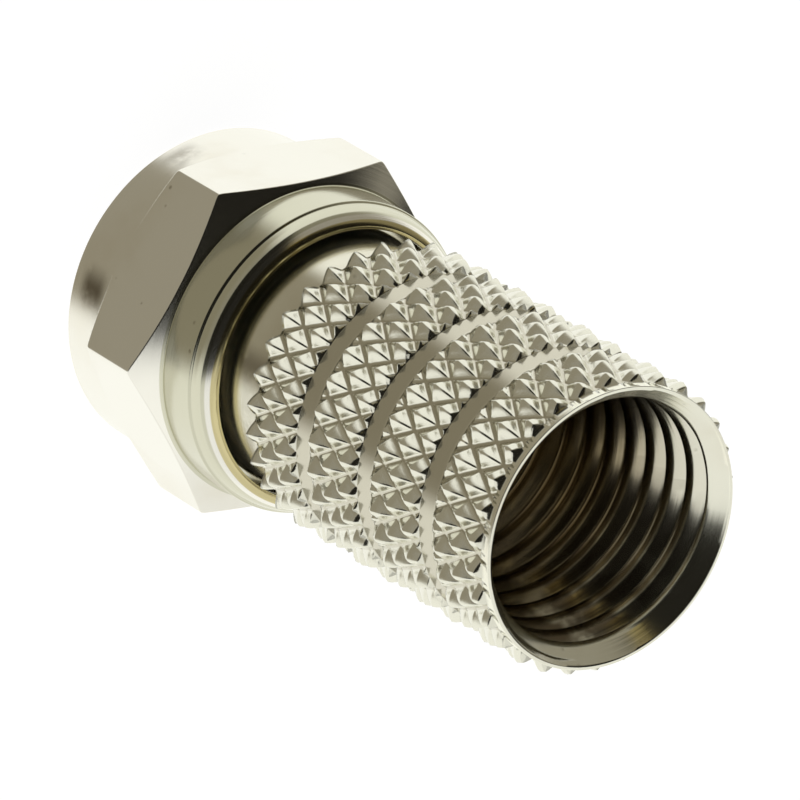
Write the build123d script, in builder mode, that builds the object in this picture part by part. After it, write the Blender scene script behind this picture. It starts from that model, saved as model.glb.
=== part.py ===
from build123d import *
from math import ceil, cos, floor, pi, radians, sin, tan
import os

# Twist-on F connector of nickel-plated brass, in millimetres. It stands on the
# nut's open front face: z = 0 there, and +Z runs along the axis to the cable end.
overall_length = 21.9

# Coupling nut, outside
hex_across_flats = 11.0
nut_length = 7.33            # to the very end of the rolled skirt
hex_length = 4.68            # z of the hexagon's rear corners
hex_rear_bevel_angle = 24.0  # measured from the plane of the face
hex_bevel_start = 2.38       # z where the front bevel meets the hexagon's corners
hex_bevel_angle = 30.0       # measured from the plane of the face
collar_step = 0.03           # the collar in front lies this much inside the flats
collar_edge = 0.15           # small bevel at the collar's front rim
skirt_bend = 0.72            # the skirt starts to bend inwards this far before its end
crimp_bend = 0.28            # the fine line between its two bends, from its end
crimp_inset = 0.3            # radial, from the shoulder in to that line
lip_inset = 0.7              # radial, from the shoulder in to the lip's bore
lip_thickness = 0.38
lip_curl_width = 0.23        # radial, from the lip's bore out to the crest of its curl
lip_curl_drop = 0.1          # the crest lies this far short of the nut's end

# Coupling nut, inside: 3/8-32 thread for the port, then the flange's chamber
front_land = 0.57            # width of the flat front face, with its outer bevel
port_lead_in = 0.52          # bevel that guides the port into the thread
chamber_step = 0.5           # the chamber is this much wider in radius than the thread's bore
chamber_offset = 0.27        # the thread ends this far behind the hexagon
skirt_wall = 0.4
skirt_rise = 0.15            # the skirt bends this much lower inside than outside

# Barrel, turned parts
flange_thickness = 1.2
flange_clearance = 0.06      # radial, between the flange and the nut's chamber
float_gap = 0.1              # axial, between the flange and the chamber's floor
lip_clearance = 0.28         # radial, between the lip and the neck
neck_reach = 2.03            # bare neck behind the nut
rim_length = 0.34            # plain ring behind the last knurled band

# Barrel, knurled bands: crossed V-grooves that leave four-sided pyramids
band_count = 4
band_gap = 1.04              # smooth groove between two bands
band_foot = 0.03             # radial, from the knurl's root down to the smooth grooves
band_step = 0.7              # radial, from the neck out to the knurl's tips
knurl_depth = 0.4
knurl_starts = 30            # V-grooves of each hand around the barrel
knurl_angle = 30.0           # between each V-groove and the axis
knurl_phase = -35.0          # direction of one row of groove crossings, degrees
knurl_row_offset = 0.83      # from the cable end to the nearest of those crossings

# Barrel, inside
barrel_wall = 0.57           # from the smooth grooves in to the thread's crests
cable_thread_depth = 0.38
cable_thread_pitch = 1.05
cable_thread_flank = 38.0    # each flank, from the plane across the axis
cable_thread_offset = 1.44   # last turn over +X, measured back from the cable end
mouth_widening = 0.55        # radial, from the thread's crests out to the mouth's edge
mouth_angle = 45.0           # half angle of the mouth's cone
rim_land = 0.11              # width of the rim's flat end
floor_offset = 0.24          # the bore's floor lies this far behind the first band's front
relief_length = 4.0          # plain undercut where the cable's thread runs out
relief_margin = 0.03         # the undercut is this much deeper than the thread
floor_drill_angle = 59.0     # half angle of the drilled cone at the floor
dielectric_bore = 5.2

cut_margin = 1.0             # cutting shapes reach this far past the skin they cut

# Radii and heights of the nut, worked out from the sizes above
hex_corner_radius = hex_across_flats / 2 / cos(radians(30))
collar_radius = hex_across_flats / 2 - collar_step
collar_end = hex_bevel_start - (hex_corner_radius - collar_radius) * tan(radians(hex_bevel_angle))
entry_radius = collar_radius - front_land
port_radius = entry_radius - port_lead_in
port_end = hex_length + chamber_offset
chamber_radius = port_radius + chamber_step
shoulder_radius = chamber_radius + skirt_wall
shoulder_start = hex_length + (hex_corner_radius - shoulder_radius) * tan(radians(hex_rear_bevel_angle))
crimp_radius = shoulder_radius - crimp_inset
lip_radius = shoulder_radius - lip_inset
skirt_end = nut_length - skirt_bend
crimp_end = nut_length - crimp_bend
chamber_end = skirt_end - skirt_rise
lip_start = nut_length - lip_thickness

# Radii and heights of the barrel
flange_radius = chamber_radius - flange_clearance
flange_front = port_end + float_gap
flange_rear = flange_front + flange_thickness
neck_radius = lip_radius - lip_clearance
first_band = nut_length + neck_reach
rim_start = overall_length - rim_length
band_length = (rim_start - first_band - (band_count - 1) * band_gap) / band_count
band_starts = [first_band + i * (band_length + band_gap) for i in range(band_count)]
tip_radius = neck_radius + band_step
root_radius = tip_radius - knurl_depth
groove_radius = root_radius - band_foot
bore_radius = groove_radius - barrel_wall
thread_root_radius = bore_radius + cable_thread_depth
relief_radius = thread_root_radius + relief_margin
mouth_radius = bore_radius + mouth_widening
rim_radius = mouth_radius + rim_land
mouth_start = overall_length - mouth_widening / tan(radians(mouth_angle))
dielectric_radius = dielectric_bore / 2
cable_bore_floor = first_band + floor_offset
drill_tip = cable_bore_floor - (bore_radius - dielectric_radius) / tan(radians(floor_drill_angle))
relief_end = cable_bore_floor + relief_length


# Half the axial length of one pyramid: rows of crossings follow at this step
row_height = pi * (tip_radius + root_radius) / knurl_starts / (2 * tan(radians(knurl_angle)))


def knurl_point(column, row):
    """A corner of the knurl: crossings of the grooves and pyramid tips alternate."""
    radius = root_radius if (column + row) % 2 == 0 else tip_radius
    angle = radians(knurl_phase + column * 180 / knurl_starts)
    height = overall_length - knurl_row_offset + row * row_height
    return Vector(radius * cos(angle), radius * sin(angle), height)


def knurled_blank(z_low, z_high):
    """A solid rod whose skin is the crossed knurl, at least from z_low to z_high."""
    anchor = overall_length - knurl_row_offset
    first_row = floor((z_low - anchor) / row_height)
    last_row = ceil((z_high - anchor) / row_height)
    columns = 2 * knurl_starts
    faces = []
    for row in range(first_row, last_row):
        for column in range(columns):
            here, beside = knurl_point(column, row), knurl_point(column + 1, row)
            above, across = knurl_point(column, row + 1), knurl_point(column + 1, row + 1)
            if (column + row) % 2 == 0:
                corners = [(here, beside, across), (here, across, above)]
            else:
                corners = [(here, beside, above), (beside, across, above)]
            faces += [Face(Wire.make_polygon(three)) for three in corners]
    for row in (first_row, last_row):
        ring = [knurl_point(column, row) for column in range(columns)]
        faces.append(Face(Wire.make_polygon(ring)))
    return Solid(Shell(faces))


os.makedirs("parts", exist_ok=True)

with BuildPart() as coupling_nut:
    # Turned outside with the skirt rolled inwards behind the barrel's flange
    with BuildSketch(Plane.XZ):
        with BuildLine():
            Polyline(
                (lip_radius, nut_length),
                (lip_radius, lip_start),
                (chamber_radius, chamber_end),
                (chamber_radius, port_end),
                (port_radius, port_end),
                (port_radius, port_lead_in),
                (entry_radius, 0),
                (collar_radius - collar_edge, 0),
                (collar_radius, collar_edge),
                (collar_radius, collar_end),
                (hex_corner_radius, hex_bevel_start),
                (hex_corner_radius, hex_length),
                (shoulder_radius, shoulder_start),
                (shoulder_radius, skirt_end),
                (crimp_radius, crimp_end),
                (lip_radius + lip_curl_width, nut_length - lip_curl_drop),
                close=True,
            )
        make_face()
    revolve(axis=Axis.Z)
    # The six spanner flats
    with BuildSketch(Plane.XY):
        Circle(hex_corner_radius + cut_margin)
        RegularPolygon(hex_across_flats / 2, 6, major_radius=False, mode=Mode.SUBTRACT)
    extrude(amount=shoulder_start, mode=Mode.SUBTRACT)

coupling_nut.part.label = "coupling_nut"
export_step(coupling_nut.part, "parts/coupling_nut.step")

with BuildPart() as turned_core:
    # Outside: flange, neck, the bands' seat and the plain rim
    with BuildSketch(Plane.XZ):
        with BuildLine():
            Polyline(
                (0, flange_front),
                (flange_radius, flange_front),
                (flange_radius, flange_rear),
                (neck_radius, flange_rear),
                (neck_radius, first_band),
                (groove_radius, first_band),
                (groove_radius, rim_start),
                (rim_radius, rim_start),
                (rim_radius, overall_length),
                (0, overall_length),
                (0, flange_front),
            )
        make_face()
    revolve(axis=Axis.Z)
    # Bore for the cable: mouth, crests of the thread, undercut, drilled floor
    with BuildSketch(Plane.XZ):
        with BuildLine():
            Polyline(
                (0, flange_front),
                (dielectric_radius, flange_front),
                (dielectric_radius, drill_tip),
                (bore_radius, cable_bore_floor),
                (relief_radius, cable_bore_floor),
                (relief_radius, relief_end),
                (bore_radius, relief_end + cable_thread_depth),
                (bore_radius, mouth_start),
                (mouth_radius, overall_length),
                (0, overall_length),
                (0, flange_front),
            )
        make_face()
    revolve(axis=Axis.Z, mode=Mode.SUBTRACT)
    # Coarse right-hand thread that the cable is screwed into
    turns = ceil((overall_length - cable_thread_offset - relief_end) / cable_thread_pitch) + 1
    helix_start = overall_length - cable_thread_offset - (turns - 1) * cable_thread_pitch
    spread = tan(radians(cable_thread_flank))
    inner_radius = bore_radius - cable_thread_depth / 2
    half_mouth = (thread_root_radius - inner_radius) * spread
    for turn in range(turns + 1):
        turn_start = helix_start + turn * cable_thread_pitch
        with BuildLine() as one_turn:
            Helix(
                pitch=cable_thread_pitch,
                height=cable_thread_pitch,
                radius=bore_radius,
                center=(0, 0, turn_start),
            )
        with BuildSketch(Plane.XZ):
            with BuildLine():
                Polyline(
                    (inner_radius, turn_start - half_mouth),
                    (thread_root_radius, turn_start),
                    (inner_radius, turn_start + half_mouth),
                    close=True,
                )
            make_face()
        sweep(path=one_turn.line, is_frenet=True, mode=Mode.SUBTRACT)

with BuildPart() as knurled_bands:
    add(knurled_blank(first_band, rim_start))
    blank_depth = tip_radius + cut_margin - groove_radius
    with BuildSketch(Plane.XZ):
        for start in band_starts:
            with Locations((groove_radius, start)):
                Rectangle(blank_depth, band_length, align=(Align.MIN, Align.MIN))
    revolve(axis=Axis.Z, mode=Mode.INTERSECT)

# The bands lie face to face on the core's cylinder and become one solid with it
joined = turned_core.part.fuse(*knurled_bands.solids(), glue=True)

with BuildPart() as barrel:
    add(joined)

barrel.part.label = "barrel"
export_step(barrel.part, "parts/barrel.step")
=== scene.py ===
import bmesh
import bpy
import numpy as np
from mathutils import Matrix


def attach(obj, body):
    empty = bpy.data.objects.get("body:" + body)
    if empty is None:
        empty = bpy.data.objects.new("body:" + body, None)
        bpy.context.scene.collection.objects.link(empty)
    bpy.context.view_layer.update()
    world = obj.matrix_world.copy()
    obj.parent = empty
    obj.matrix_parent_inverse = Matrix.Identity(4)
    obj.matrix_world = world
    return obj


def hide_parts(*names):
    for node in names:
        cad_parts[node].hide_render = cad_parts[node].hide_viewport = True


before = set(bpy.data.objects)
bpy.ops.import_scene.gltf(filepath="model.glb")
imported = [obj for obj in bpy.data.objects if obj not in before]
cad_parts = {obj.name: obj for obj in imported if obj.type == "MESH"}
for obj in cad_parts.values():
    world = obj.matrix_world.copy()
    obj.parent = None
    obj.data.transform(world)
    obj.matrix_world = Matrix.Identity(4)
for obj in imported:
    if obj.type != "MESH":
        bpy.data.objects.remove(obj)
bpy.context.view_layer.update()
print("frame loaded:", sorted(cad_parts))

mm = 0.001  # every size below is in millimetres
degree = np.pi / 180
weldDistance = 0.0003 * mm


class Wire:
    # one output of a node; arithmetic on it adds Math nodes to the same tree
    def __init__(self, graph, socket):
        self.graph = graph
        self.socket = socket

    def sum(self, operation, *values):
        # any operation of the Math node, on the values alone
        return self.graph.add("ShaderNodeMath", {"operation": operation}, dict(enumerate(values)))

    def __add__(self, other):
        return self.sum("ADD", self, other)

    def __radd__(self, other):
        return self.sum("ADD", other, self)

    def __sub__(self, other):
        return self.sum("SUBTRACT", self, other)

    def __rsub__(self, other):
        return self.sum("SUBTRACT", other, self)

    def __mul__(self, other):
        return self.sum("MULTIPLY", self, other)

    def __rmul__(self, other):
        return self.sum("MULTIPLY", other, self)

    def __truediv__(self, other):
        return self.sum("DIVIDE", self, other)

    def raised(self, power):
        return self.sum("POWER", self, power)

    def fold(self):
        return self.sum("ABSOLUTE", self)


class Graph:
    # a material's or world's node tree
    def __init__(self, tree):
        self.tree = tree
        tree.nodes.clear()

    def add(self, kind, settings=None, values=None, output=0):
        # node type, then its settings, then the values or links of its sockets
        node = self.tree.nodes.new(kind)
        for key, value in (settings or {}).items():
            setattr(node, key, value)
        for key, value in (values or {}).items():
            if isinstance(value, Wire):
                self.tree.links.new(value.socket, node.inputs[key])
            else:
                node.inputs[key].default_value = value
        return Wire(self, node.outputs[output]) if len(node.outputs) else None

    def apart(self, vector):
        # the three numbers of a vector
        node = self.add("ShaderNodeSeparateXYZ", values={0: vector}).socket.node
        return [Wire(self, socket) for socket in node.outputs]

    def mix(self, factor, first, second):
        first, second = [c if isinstance(c, Wire) else (*c, 1.0) for c in (first, second)]
        return self.add("ShaderNodeMix", {"data_type": "RGBA"}, {0: factor, 6: first, 7: second}, 2)

    def rise(self, value, low, high):
        # 0 below low, 1 above high, a smooth step between
        return self.add("ShaderNodeMapRange", {"interpolation_type": "SMOOTHSTEP"},
                        {"Value": value, "From Min": low, "From Max": high})

    def window(self, value, low, high, soft):
        # 1 between low and high, with soft edges
        return self.rise(value, low - soft, low + soft) * (1.0 - self.rise(value, high - soft, high + soft))


def place(radius, height, angle):
    # a point at a radius, height and angle round the axis: x = r cos a, y = r sin a, z = h
    radius, height, angle = np.broadcast_arrays(radius, height, angle)
    return np.stack([radius * np.cos(angle), radius * np.sin(angle), height], -1) * mm


def softProfile(corners, angle, steps=4):
    # corners: (radius, height, softness); each corner becomes the parabola
    # (1-t)^2 a + 2t(1-t) corner + t^2 b between points a and b at the softness from it,
    # with one more row just outside a and b, so that the straight parts shade flat
    blank = np.zeros(len(angle))
    p = np.array([[r + blank, h + blank] for r, h, soft in corners])
    t = np.linspace(0, 1, steps + 1)[:, None, None]
    rows = [p[:1]]
    for i in range(1, len(p) - 1):
        back, ahead = p[i - 1] - p[i], p[i + 1] - p[i]
        backLength, aheadLength = np.hypot(*back), np.hypot(*ahead)
        reach = np.minimum(corners[i][2], 0.3 * np.minimum(backLength, aheadLength))
        back, ahead = back / backLength, ahead / aheadLength
        a, b = p[i] + back * reach, p[i] + ahead * reach
        rows += [(p[i] + back * reach * 1.4)[None],
                 (1 - t) ** 2 * a + 2 * t * (1 - t) * p[i] + t ** 2 * b,
                 (p[i] + ahead * reach * 1.4)[None]]
    rows = np.concatenate(rows + [p[-1:]])
    return rows[:, 0], rows[:, 1]


def threadSheet(angle, low, high, pitch, offset, gaps, depthAt, wall):
    # rows follow the helix: height = (turn + gap) * pitch + offset + pitch * angle / 2 pi, held
    # between low and high; radius = the larger of the thread's own and the plain wall's
    turns = np.arange(np.floor((low - offset) / pitch) - 2, np.ceil((high - offset) / pitch) + 2)
    rise = (turns[:, None] + gaps[None] / pitch).reshape(-1, 1) * pitch
    helix = offset + pitch * angle[None] / (2 * np.pi)
    height = np.clip(rise + helix, low, high)
    away = (height - helix + pitch / 2) % pitch - pitch / 2
    return np.maximum(depthAt(np.abs(away)), wall(height)), height


def threadDepth(crest, depth, halfWidth, rootSoft, crestSoft):
    # radius of a V groove at a distance from its middle, with root and crest edge rounded:
    # f = depth (1 - sqrt(d^2 + s^2) / halfWidth), radius = crest + (f + sqrt(f^2 + e^2)) / 2
    def radiusAt(away):
        fall = depth * (1 - np.sqrt(away ** 2 + rootSoft ** 2) / halfWidth)
        return crest + (fall + np.sqrt(fall ** 2 + crestSoft ** 2)) / 2
    return radiusAt


class Shell:
    # gathers sheets of points into one mesh
    def __init__(self):
        self.points, self.quads, self.triangles, self.count = [], [], [], 0

    def sheet(self, points, closed=True, split=None):
        # quads between neighbouring rows and columns; rows running up on the outside face outwards;
        # split: cut each quad along its first or its other diagonal
        rows, columns = points.shape[:2]
        index = self.count + np.arange(rows * columns).reshape(rows, columns)
        self.points.append(points.reshape(-1, 3))
        self.count += rows * columns
        a, d = index[:-1], index[1:]
        b, c = np.roll(a, -1, 1), np.roll(d, -1, 1)
        if not closed:
            a, b, c, d = a[:, :-1], b[:, :-1], c[:, :-1], d[:, :-1]
        if split is None:
            self.quads.append(np.stack([a, b, c, d], -1).reshape(-1, 4))
        else:
            first = np.stack([np.stack([a, b, c], -1), np.stack([a, c, d], -1)], 2)
            other = np.stack([np.stack([a, b, d], -1), np.stack([b, c, d], -1)], 2)
            self.triangles.append(np.where(split[..., None, None], first, other).reshape(-1, 3))
        return index

    def stitch(self, fine, coarse, flip=False):
        # triangles between a ring and a ring of half as many points
        here, half, there = fine[0::2], fine[1::2], np.roll(fine[0::2], -1)
        beside = np.roll(coarse, -1)
        parts = [(here, half, coarse), (half, beside, coarse), (half, there, beside)]
        block = np.concatenate([np.stack(p, -1) for p in parts])
        self.triangles.append(block[:, ::-1] if flip else block)

    def build(self, name, body, node):
        points = np.concatenate(self.points)
        faces = sum((np.concatenate(f).tolist() for f in (self.quads, self.triangles) if f), [])
        mesh = bpy.data.meshes.new(name)
        mesh.from_pydata(points.tolist(), [], faces)
        work = bmesh.new()
        work.from_mesh(mesh)
        bmesh.ops.remove_doubles(work, verts=work.verts, dist=weldDistance)
        bmesh.ops.recalc_face_normals(work, faces=work.faces)
        openEdges = sum(1 for e in work.edges if len(e.link_faces) != 2)
        triangles = sum(len(f.verts) - 2 for f in work.faces)
        work.to_mesh(mesh)
        work.free()
        mesh.polygons.foreach_set("use_smooth", np.ones(len(mesh.polygons), dtype=bool))
        piece = bpy.data.objects.new(name, mesh)
        bpy.context.collection.objects.link(piece)
        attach(piece, body)
        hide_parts(node)
        print(name, "triangles", triangles, "open edges", openEdges)
        return piece


# the photo's camera, fitted to the part's outline
view = {
    "place": (173.163, -120.997, 243.616),
    "right": (-0.81534816, -0.05784381, 0.57607419),
    "up": (-0.1786894, -0.92128106, -0.34541468),
    "lens": 450.0,
    "sensor": 36.0,
}
camera = bpy.data.objects.new("camera", bpy.data.cameras.new("camera"))
bpy.context.collection.objects.link(camera)
right, up = np.array(view["right"]), np.array(view["up"])
turn = np.eye(4)
turn[:3, 0], turn[:3, 1], turn[:3, 2] = right, up, np.cross(right, up)
turn[:3, 3] = np.array(view["place"]) * mm
camera.matrix_world = Matrix(turn.tolist())
camera.data.lens = view["lens"]
camera.data.sensor_width = view["sensor"]
camera.data.clip_start = 0.01
bpy.context.scene.camera = camera
bpy.context.scene.view_settings.view_transform = "Standard"
print("camera set")


nut = {
    "flats": 11.0,              # across flats
    "edgeSharpness": 120.0,     # higher is sharper along the hexagon's edges
    "length": 7.33,
    "hexLength": 4.68,
    "bevelStart": 2.38,
    "bevelAngle": 30.0,
    "rearBevelAngle": 24.0,
    "collar": 5.48,             # radius of the plain part in front
    "frontBevel": 0.06,
    "shoulder": 5.28,           # radius of the skirt behind the hexagon
    "bendStart": 6.57,
    "crimp": 4.98,
    "crimpHeight": 7.1,
    "crimpStep": 0.08,          # the skirt's two fine steps, radial
    "lip": 4.58,
    "lipFoot": 6.95,
    "chamber": 4.88,
    "chamberEnd": 6.46,
    "portEnd": 4.95,
    "entry": 4.9,
    "port": 4.38,
    "pitch": 0.79375,           # 32 threads per inch
    "depth": 0.3825,
    "halfGroove": 0.27,
    "softEdge": 0.045,          # rounding of the hexagon's edges
    "bevelSoft": 0.081,
    "turnedSoft": 0.03,         # rounding of the turned edges
    "crispSoft": 0.02,
    "bends": ((0, 0), (0.05, 0.19), (0.12, 0.35), (0.2, 0.45)),     # inward and back, from the skirt's bend
    "bendOffset": 0.06,
    "curlDepth": 0.06,
    "curlPower": 1.9,
    "threadOffset": 0.4,
    "rootSoft": 0.03,
    "crestSoft": 0.02,
    "gaps": (-0.3, -0.2, -0.1, -0.04, 0, 0.04, 0.1, 0.2, 0.3),      # rows beside a groove's middle
}


def nutAngles():
    # one sector from corner to corner, finer near the hexagon's edges
    near = np.array([0, 0.12, 0.25, 0.42, 0.65, 1.0, 1.5, 2.2, 3.2, 4.5])
    half = np.concatenate([near, np.arange(6, 30, 1.5)])
    sector = np.concatenate([half, [30.0], 60 - half[:0:-1]])
    return (np.arange(6)[:, None] * 60 + sector[None]).ravel() * degree


def flatRadius(angle):
    # soft hexagon: radius = half the flats / (sum of cos(angle - flat)^p)^(1/p)
    power = nut["edgeSharpness"]
    flat = (30 + 60 * np.arange(6))[:, None] * degree
    toward = np.maximum(np.cos(angle[None] - flat), 0)
    return nut["flats"] / 2 / (toward ** power).sum(0) ** (1 / power)


angle = nutAngles()
flat = flatRadius(angle)
tilt, rearTilt = np.tan(nut["bevelAngle"] * degree), np.tan(nut["rearBevelAngle"] * degree)
corner = nut["flats"] / np.sqrt(3)
collarEnd = nut["bevelStart"] - (corner - nut["collar"]) * tilt
turned, crisp = nut["turnedSoft"], nut["crispSoft"]
# the skirt leans in more and more: 15, 24 and then 39 degrees from the axis
skirt, bendHeight = nut["shoulder"] - nut["crimpStep"], nut["bendStart"] + nut["bendOffset"]
bend = [(skirt - inward, bendHeight + back, turned) for inward, back in nut["bends"]]
# then it curls over to the lip: height = crimp + rest (1 - (1 - t)^power) as the radius falls with t
arc = np.linspace(0, 1, 9)[1:-1]
curlRadius = nut["crimp"] + (nut["lip"] + nut["curlDepth"] - nut["crimp"]) * arc
curlRise = 1 - (1 - arc) ** nut["curlPower"]
curlHeight = nut["crimpHeight"] + (nut["length"] - nut["crimpHeight"]) * curlRise
outline = [
    (nut["entry"], 0, 0),
    (nut["collar"] - nut["frontBevel"], 0, crisp),
    (nut["collar"], nut["frontBevel"], crisp),
    (nut["collar"], collarEnd, crisp),
    (flat, collarEnd + (flat - nut["collar"]) * tilt, nut["bevelSoft"]),
    (flat, nut["hexLength"] + (corner - flat) * rearTilt, nut["softEdge"]),
    (nut["shoulder"], nut["hexLength"] + (corner - nut["shoulder"]) * rearTilt, turned),
    (nut["shoulder"], nut["bendStart"], turned),
    *bend,
    *[(r, h, crisp) for r, h in zip(curlRadius, curlHeight)],
    (nut["lip"], nut["length"] - crisp, turned),
    (nut["lip"], nut["lipFoot"], turned),
    (nut["chamber"], nut["chamberEnd"], turned),
    (nut["chamber"], nut["portEnd"], crisp),
]
nutShell = Shell()
radius, height = softProfile(outline, angle)
nutShell.sheet(place(radius, height, angle))


def entryWall(height):
    # 45 degree lead-in for the port
    return nut["entry"] - height


ringAngle = np.append(angle, 2 * np.pi)
portDepth = threadDepth(nut["port"], nut["depth"], nut["halfGroove"], nut["rootSoft"], nut["crestSoft"])
radius, height = threadSheet(
    ringAngle, 0, nut["portEnd"], nut["pitch"], nut["threadOffset"], np.array(nut["gaps"]),
    portDepth, entryWall)
nutShell.sheet(place(radius, height, ringAngle)[::-1], closed=False)
# the step from the thread's end out to the chamber
step = [place(edge, nut["portEnd"], ringAngle) for edge in (nut["chamber"], radius[-1])]
nutShell.sheet(np.stack(step), closed=False)
nutPiece = nutShell.build("couplingNut", "coupling_nut", "coupling_nut")


barrel = {
    "length": 21.9,
    "flangeFront": 5.05,
    "flangeRear": 6.25,
    "flange": 4.82,
    "neck": 4.3,
    "firstBand": 9.36,
    "bandLength": 2.27,
    "bandPitch": 3.31,
    "bands": 4,
    "groove": 4.57,             # radius of the smooth grooves between the bands
    "grooveLean": 0.05,         # each groove's floor is this much higher at its start, lower at its end
    "ramp": 0.4,                # length of the 45 degree ramp from a groove up to the next band
    "rim": 4.66,
    "rimStart": 21.56,
    "mouth": 4.55,
    "mouthStart": 21.35,
    "bore": 4.0,
    "floor": 9.6,
    "reliefEnd": 12.2,
    "relief": 4.41,
    "dielectric": 2.6,
    "drillTip": 8.759,
    "flangeSoft": 0.1,          # rounding of edges
    "rimSoft": 0.07,
    "innerSoft": 0.03,
    "edge": 0.02,               # smallest step, at the ends of the grooves and of the neck
}
knurl = {
    "tip": 5.0,
    "root": 4.6,
    "starts": 30,
    "rowHeight": 0.859,         # half the height of one pyramid
    "phase": -34.6,             # degrees, one row of groove crossings
    "anchor": 21.32,            # height of one of those crossings
    "ridgeSoft": 0.07,          # rounding along the ridges, as a share of a pyramid
    "valley": 0.1,              # share of a pyramid taken by the grooves' flat bottom
    "valleySoft": 0.06,         # rounding along the grooves
    "swell": 1.5,               # above 1 the faces bulge and the tops flatten
    "cuts": (0, 0.08, 0.22, 0.4, 0.57, 0.74, 0.91),     # samples across half a pyramid
    "spare": 0.02,              # rows closer than this to a band's end are left out
}
cableThread = {
    "pitch": 1.05,
    "offset": 20.46,            # a groove's middle over the +X axis
    "depth": 0.4,
    "halfWidth": 0.35,
    "rootSoft": 0.02,
    "crestSoft": 0.1,
    "gaps": (-0.42, -0.35, -0.29, -0.18, -0.08, -0.03, 0,
             0.03, 0.08, 0.18, 0.29, 0.35, 0.42, 0.525),            # rows beside a groove's middle
}


def knurlRadius(column, row):
    # two sets of V grooves cross: u = (column + row) / 2 and v = (column - row) / 2 are whole numbers
    # in the grooves; the height is 1 - the larger distance from the mid lines (a maximum softened
    # along the ridges), less the flat valley (a zero softened likewise); 1 - (1 - height)^swell
    # then bulges the faces
    u, v = (column + row) / 2, (column - row) / 2
    across, along = np.abs(2 * (u - np.floor(u)) - 1), np.abs(2 * (v - np.floor(v)) - 1)
    top = (across + along + np.sqrt((across - along) ** 2 + knurl["ridgeSoft"] ** 2)) / 2
    rise = (1 - top - knurl["valley"]) / (1 - knurl["valley"])
    rise = (rise + np.sqrt(rise ** 2 + knurl["valleySoft"] ** 2)) / 2
    rise = 1 - np.maximum(1 - rise, 0) ** knurl["swell"]
    return knurl["root"] + (knurl["tip"] - knurl["root"]) * rise


cuts = np.array(knurl["cuts"])
column = (np.arange(2 * knurl["starts"])[:, None] + cuts[None]).ravel()
fineAngle = (knurl["phase"] + column * 180 / knurl["starts"]) * degree
coarseAngle = fineAngle[::2]
barrelShell = Shell()

rounded, edge = barrel["flangeSoft"], barrel["edge"]
front = [
    (barrel["dielectric"] + barrel["innerSoft"], barrel["flangeFront"], 0),
    (barrel["flange"], barrel["flangeFront"], rounded),
    (barrel["flange"], barrel["flangeRear"], rounded),
    (barrel["neck"], barrel["flangeRear"], rounded),
    (barrel["neck"], barrel["firstBand"], edge),
    (barrel["groove"] + edge, barrel["firstBand"], 0),
]
radius, height = softProfile(front, fineAngle)
frontIndex = barrelShell.sheet(place(radius[:-1], height[:-1], fineAngle))
previous = radius[-2], height[-2]
for band in range(barrel["bands"]):
    start = barrel["firstBand"] + band * barrel["bandPitch"]
    low = start - (barrel["ramp"] if band else 0)
    high = start + barrel["bandLength"]
    lowRow, highRow = [(z - knurl["anchor"]) / knurl["rowHeight"] for z in (low, high)]
    rows = (np.arange(np.floor(lowRow), np.ceil(highRow))[:, None] + cuts[None]).ravel()
    rows = rows[(rows > lowRow + knurl["spare"]) & (rows < highRow - knurl["spare"])]
    rows = np.concatenate([[lowRow], rows, [highRow]])
    level = (knurl["anchor"] + rows * knurl["rowHeight"])[:, None]
    grid = knurlRadius(column[None], rows[:, None])
    if band:  # cut by the 45 degree ramp
        grid = np.minimum(grid, barrel["groove"] - barrel["grooveLean"] + barrel["edge"] / 2 + level - low)
    middle = ((rows[:-1] + rows[1:]) / 2)[:, None]
    sameWay = (np.floor(column)[None] + np.floor(middle)) % 2 == 0
    # wall up to the band, the band itself, and the wall down on its far side
    barrelShell.sheet(np.stack([place(*previous, fineAngle), place(grid[0], low, fineAngle)]))
    barrelShell.sheet(place(grid, level, fineAngle), split=sameWay)  # cut along the pyramids' edges
    last = band == barrel["bands"] - 1
    foot = barrel["rim"] if last else barrel["groove"] + barrel["grooveLean"]
    barrelShell.sheet(np.stack([place(grid[-1], high, fineAngle), place(foot, high, fineAngle)]))
    if not last:
        ahead = barrel["firstBand"] + (band + 1) * barrel["bandPitch"] - barrel["ramp"]
        level = np.array([high, high + edge, ahead - edge, ahead])[:, None]
        lean = foot - 2 * barrel["grooveLean"] * (level - high) / (ahead - high)
        barrelShell.sheet(place(lean, level, fineAngle))
        previous = lean[-1], ahead
rim = [
    (barrel["rim"], barrel["rimStart"], 0),
    (barrel["rim"], barrel["length"], barrel["rimSoft"]),
    (barrel["mouth"] + edge, barrel["length"], 0),
]
radius, height = softProfile(rim, fineAngle)
rimIndex = barrelShell.sheet(place(radius, height, fineAngle))

# inside: mouth and thread on the helix, then the plain undercut, the floor and the narrow bore
slope = (barrel["mouth"] - barrel["bore"]) / (barrel["length"] - barrel["mouthStart"])


def boreWall(height):
    # mouth's cone at the top and the taper into the undercut at the bottom
    cone = barrel["bore"] + (height - barrel["mouthStart"]) * slope
    return np.maximum(cone, barrel["relief"] - np.maximum(height - barrel["reliefEnd"], 0))


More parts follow.
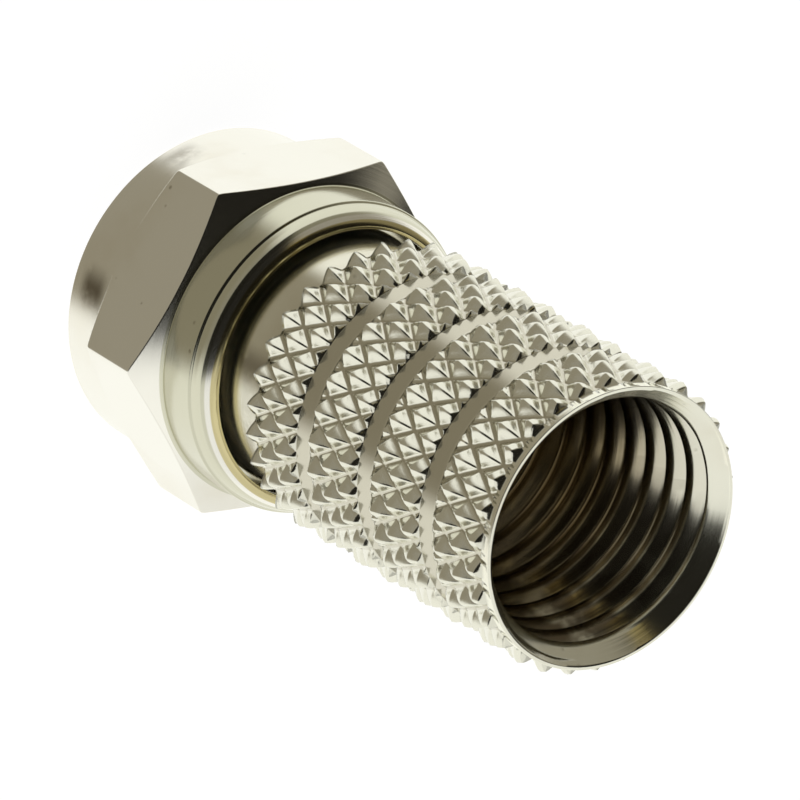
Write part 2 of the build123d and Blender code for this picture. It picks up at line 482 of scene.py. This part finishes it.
closedAngle = np.append(coarseAngle, coarseAngle[0] + 2 * np.pi)
depthAt = threadDepth(barrel["bore"], cableThread["depth"], cableThread["halfWidth"],
                      cableThread["rootSoft"], cableThread["crestSoft"])
radius, height = threadSheet(
    closedAngle, barrel["reliefEnd"], barrel["length"], cableThread["pitch"],
    cableThread["offset"], np.array(cableThread["gaps"]), depthAt, boreWall)
barrelShell.sheet(place(radius, height, closedAngle)[::-1], closed=False)
innerSoft = barrel["innerSoft"]
inner = [
    (barrel["relief"], barrel["reliefEnd"], 0),
    (barrel["relief"], barrel["floor"], innerSoft),
    (barrel["bore"], barrel["floor"], innerSoft),
    (barrel["dielectric"], barrel["drillTip"], innerSoft),
    (barrel["dielectric"], barrel["flangeFront"], 0),
]
radius, height = softProfile(inner, coarseAngle)
innerIndex = barrelShell.sheet(place(radius, height, coarseAngle))
# the rim and the front have twice as many points round as the inside
mouthRing = barrelShell.sheet(place(barrel["mouth"], barrel["length"], coarseAngle[None]))
barrelShell.stitch(rimIndex[-1], mouthRing[0])
barrelShell.stitch(frontIndex[0], innerIndex[-1], flip=True)
barrelPiece = barrelShell.build("barrelBody", "barrel", "barrel")


nutLook = {
    "colour": (0.90, 0.885, 0.83),
    "stain": (0.74, 0.68, 0.55),
    "roughness": 0.15,
    "marks": 0.16,              # strength of the turning marks
    "specks": 0.55,
    # shoulder and skirt, brass at the lip, painted shade inside: colour, radii, heights, softness of the
    # ends, share
    "zones": [
        ((0.66, 0.65, 0.53), (5.0, 5.38), (5.08, 7.12), 0.03, 1.0),
        ((0.60, 0.52, 0.26), (4.50, 4.88), (7.12, 7.50), 0.03, 0.9),
        # painted shade: darker inside the nut
        ((0.50, 0.44, 0.32), (4.00, 4.90), (0.50, 7.00), 0.03, 0.8),
    ],
    # painted dark reflections on the collar beside the hexagon's corners: bearing and half width in
    # degrees, radii, heights, share
    "paintedShadePatches": [
        (-14.0, 5.0, (5.0, 6.0), (0.55, 1.65), 0.9),
        (-70.0, 5.0, (5.0, 6.0), (0.3, 1.2), 0.6),
    ],
}
barrelLook = {
    "colour": (0.87, 0.86, 0.76),
    "stain": (0.68, 0.62, 0.49),
    "roughness": 0.15,
    "marks": 0.12,
    "specks": 0.2,
    # bands, painted shade in the knurl's valleys and on the grooves' floors, thread, painted shade deeper
    # in the thread, painted shade in the bore behind it
    "zones": [
        ((0.79, 0.78, 0.69), (4.52, 5.20), (9.30, 21.60), 0.03, 1.0),
        # painted shade: darker in the knurl's valleys and on the grooves' floors
        ((0.30, 0.24, 0.14), (4.52, 4.632), (9.40, 21.50), 0.03, 0.35),
        ((0.80, 0.78, 0.68), (2.00, 4.50), (9.50, 21.34), 0.01, 1.0),
        # painted shade: darker deeper down the thread and in the bore behind it
        ((0.36, 0.29, 0.17), (2.00, 4.50), (10.0, 18.30), 3.0, 1.0),
        ((0.25, 0.20, 0.12), (2.00, 4.20), (5.00, 9.50), 0.03, 1.0),
    ],
    # a painted dark reflection on the neck, and painted shade on one side of the thread
    "paintedShadePatches": [
        (-16.0, 5.0, (4.1, 4.5), (7.6, 9.6), 0.6),
        (85.0, 62.0, (2.0, 4.49), (8.0, 20.8), 1.0),
    ],
}


plating = {
    "cloudScale": 900.0,
    "stainScale": 260.0,
    "stainFrom": 0.5,
    "stainTo": 0.75,
    "stainShare": 0.35,
    "speckScale": 1400.0,
    "speckSize": (0.05, 0.14),
    "speckCloud": (0.52, 0.6),  # specks lie only where the cloud is this high
    "speckColour": (0.30, 0.26, 0.19),
    # painted shade patches: their colour, the cloud that breaks them up, the softness of their ends
    "paintedShadeColour": (0.16, 0.13, 0.09),
    "paintedShadeCloud": (0.3, 0.55),
    "paintedShadeSoft": 0.3,
    "ringScale": 14.0,
    "edge": 0.02,
    "roughnessSpread": 0.08,
    "bumpHeight": 0.02,
}


def metalMaterial(name, look):
    # bright plating: stains and small specks by noise, rings of turning marks by radius and height; the
    # look's zones add its own tones and painted shade, its patches painted dark reflections and shade
    material = bpy.data.materials.new(name)
    material.use_nodes = True
    graph = Graph(material.node_tree)
    spot = graph.add("ShaderNodeTexCoord", output=3)
    x, y, z = graph.apart(spot)
    height = z / mm
    radius = (x * x + y * y).raised(0.5) / mm
    cloud = graph.add("ShaderNodeTexNoise", values={
        "Vector": spot, "Scale": plating["cloudScale"], "Detail": 4.0})
    stain = graph.add("ShaderNodeTexNoise", values={
        "Vector": spot, "Scale": plating["stainScale"], "Detail": 5.0})
    cells = graph.add("ShaderNodeTexVoronoi", values={"Vector": spot, "Scale": plating["speckScale"]})
    rings = graph.add("ShaderNodeCombineXYZ", values={0: radius, 1: height})
    marks = graph.add("ShaderNodeTexNoise", values={
        "Vector": rings, "Scale": plating["ringScale"], "Detail": 3.0})
    stained = graph.rise(stain, plating["stainFrom"], plating["stainTo"]) * plating["stainShare"]
    colour = graph.mix(stained, look["colour"], look["stain"])
    edge = plating["edge"]
    # zones: the part's own tones, and painted shade where a zone stands in for shade
    for shade, (inner, outer), (low, high), soft, share in look["zones"]:
        zone = graph.window(radius, inner, outer, edge) * graph.window(height, low, high, soft)
        colour = graph.mix(zone * share, colour, shade)
    bearing = y.sum("ARCTAN2", y, x) / degree
    # painted shade: dark patches by bearing, height and radius, standing in for dark reflections and shade
    for middle, reach, (inner, outer), (low, high), share in look["paintedShadePatches"]:
        zone = graph.window(bearing, middle - reach, middle + reach, reach)
        zone = zone * graph.window(height, low, high, plating["paintedShadeSoft"])
        zone = zone * graph.window(radius, inner, outer, edge)
        patchy = graph.rise(cloud, *plating["paintedShadeCloud"])
        colour = graph.mix(zone * patchy * share, colour, plating["paintedShadeColour"])
    speck = (1.0 - graph.rise(cells, *plating["speckSize"])) * graph.rise(cloud, *plating["speckCloud"])
    colour = graph.mix(speck * look["specks"], colour, plating["speckColour"])
    roughness = look["roughness"] + cloud * plating["roughnessSpread"]
    relief = marks - speck * look["specks"]
    bump = graph.add("ShaderNodeBump", values={
        "Strength": look["marks"], "Distance": plating["bumpHeight"] * mm, "Height": relief})
    shader = graph.add("ShaderNodeBsdfPrincipled", values={
        "Base Color": colour, "Metallic": 1.0, "Roughness": roughness, "Normal": bump})
    graph.add("ShaderNodeOutputMaterial", values={"Surface": shader})
    return material


nutPiece.data.materials.append(metalMaterial("nutNickel", nutLook))
barrelPiece.data.materials.append(metalMaterial("barrelNickel", barrelLook))
print("materials done")

studio = {
    "floorSize": 0.6,
    "floorGlow": 0.96,
    "floorGrey": 0.2,
    "dark": (0.014, 0.013, 0.010),
    "white": (1.05, 1.05, 0.99),
    "olive": (0.31, 0.283, 0.215),
    "backGrey": (0.30, 0.28, 0.22),
    "amber": (0.42, 0.33, 0.12),
    # panels: bearings from and to, heights from and to, softness at the sides and at the ends
    "backPanel": (-178, -92, -10, 34, 5, 5),
    "amberPanel": (-101, -89, 31, 37, 4, 3),
    "paperPanel": (16, 168, -10, 66, 4, 6),
    "paperShare": 0.85,
    "highPanel": (50, 110, 40, 74, 8, 5),
    "highShare": 0.9,
    "horizon": (-4, 8),         # white paper below, dark room above
    "oliveMiddle": -37.0,       # bearing of the olive patch's middle
    "oliveSide": (49, 69),
    "oliveTop": (-4, 9),
    "oliveFoot": 48.0,
    "oliveTaper": 0.4,          # degrees narrower for each degree up
}
floorMesh = bpy.data.meshes.new("floor")
half = studio["floorSize"]
corners = [(-half, -half, 0), (half, -half, 0), (half, half, 0), (-half, half, 0)]
floorMesh.from_pydata(corners, [], [(0, 1, 2, 3)])
floor = bpy.data.objects.new("floor", floorMesh)
bpy.context.collection.objects.link(floor)
floor.visible_glossy = False
floor.visible_diffuse = False
floor.visible_shadow = False
paper = bpy.data.materials.new("paper")
paper.use_nodes = True
graph = Graph(paper.node_tree)
matt = graph.add("ShaderNodeBsdfDiffuse", values={"Color": (*[studio["floorGrey"]] * 3, 1.0)})
glow = graph.add("ShaderNodeEmission", values={"Color": (1, 1, 1, 1), "Strength": studio["floorGlow"]})
both = graph.add("ShaderNodeAddShader", values={0: matt, 1: glow})
graph.add("ShaderNodeOutputMaterial", values={"Surface": both})
floorMesh.materials.append(paper)

world = bpy.data.worlds.new("studio")
bpy.context.scene.world = world
world.use_nodes = True
graph = Graph(world.node_tree)
toward = graph.add("ShaderNodeTexCoord", output=0)
east, north, rise = graph.apart(toward)
bearing = east.sum("ARCTAN2", north, east) / degree
lift = rise.sum("ARCSINE", rise) / degree


def awayFrom(middle):
    # degrees of bearing from a middle, wrapping round
    return bearing.sum("WRAP", bearing - middle, 180.0, -180.0).fold()


def panel(west, east, low, high, softSide, softEdge):
    # a soft rectangle in bearing and height, 1 inside and 0 outside
    reach = (east - west) / 2
    side = 1.0 - graph.rise(awayFrom((west + east) / 2), reach - softSide, reach + softSide)
    return side * graph.window(lift, low, high, softEdge)


# seen from the part: white paper below and to the right, dark room above, an olive grey
# patch below on the camera's side that narrows upwards, and a dim wall behind on the left
light = graph.mix(panel(*studio["backPanel"]), studio["dark"], studio["backGrey"])
light = graph.mix(panel(*studio["amberPanel"]), light, studio["amber"])
light = graph.mix(panel(*studio["paperPanel"]) * studio["paperShare"], light, studio["white"])
light = graph.mix(panel(*studio["highPanel"]) * studio["highShare"], light, studio["white"])
light = graph.mix(1.0 - graph.rise(lift, *studio["horizon"]), light, studio["white"])
off = awayFrom(studio["oliveMiddle"]) + (lift + studio["oliveFoot"]) * studio["oliveTaper"]
olive = (1.0 - graph.rise(off, *studio["oliveSide"])) * (1.0 - graph.rise(lift, *studio["oliveTop"]))
light = graph.mix(olive, light, studio["olive"])
# the camera itself sees plain white
ray = graph.add("ShaderNodeLightPath", output=0)
light = graph.mix(ray, light, (1, 1, 1))
background = graph.add("ShaderNodeBackground", values={"Color": light, "Strength": 1.0})
graph.add("ShaderNodeOutputWorld", values={"Surface": background})
print("studio done")
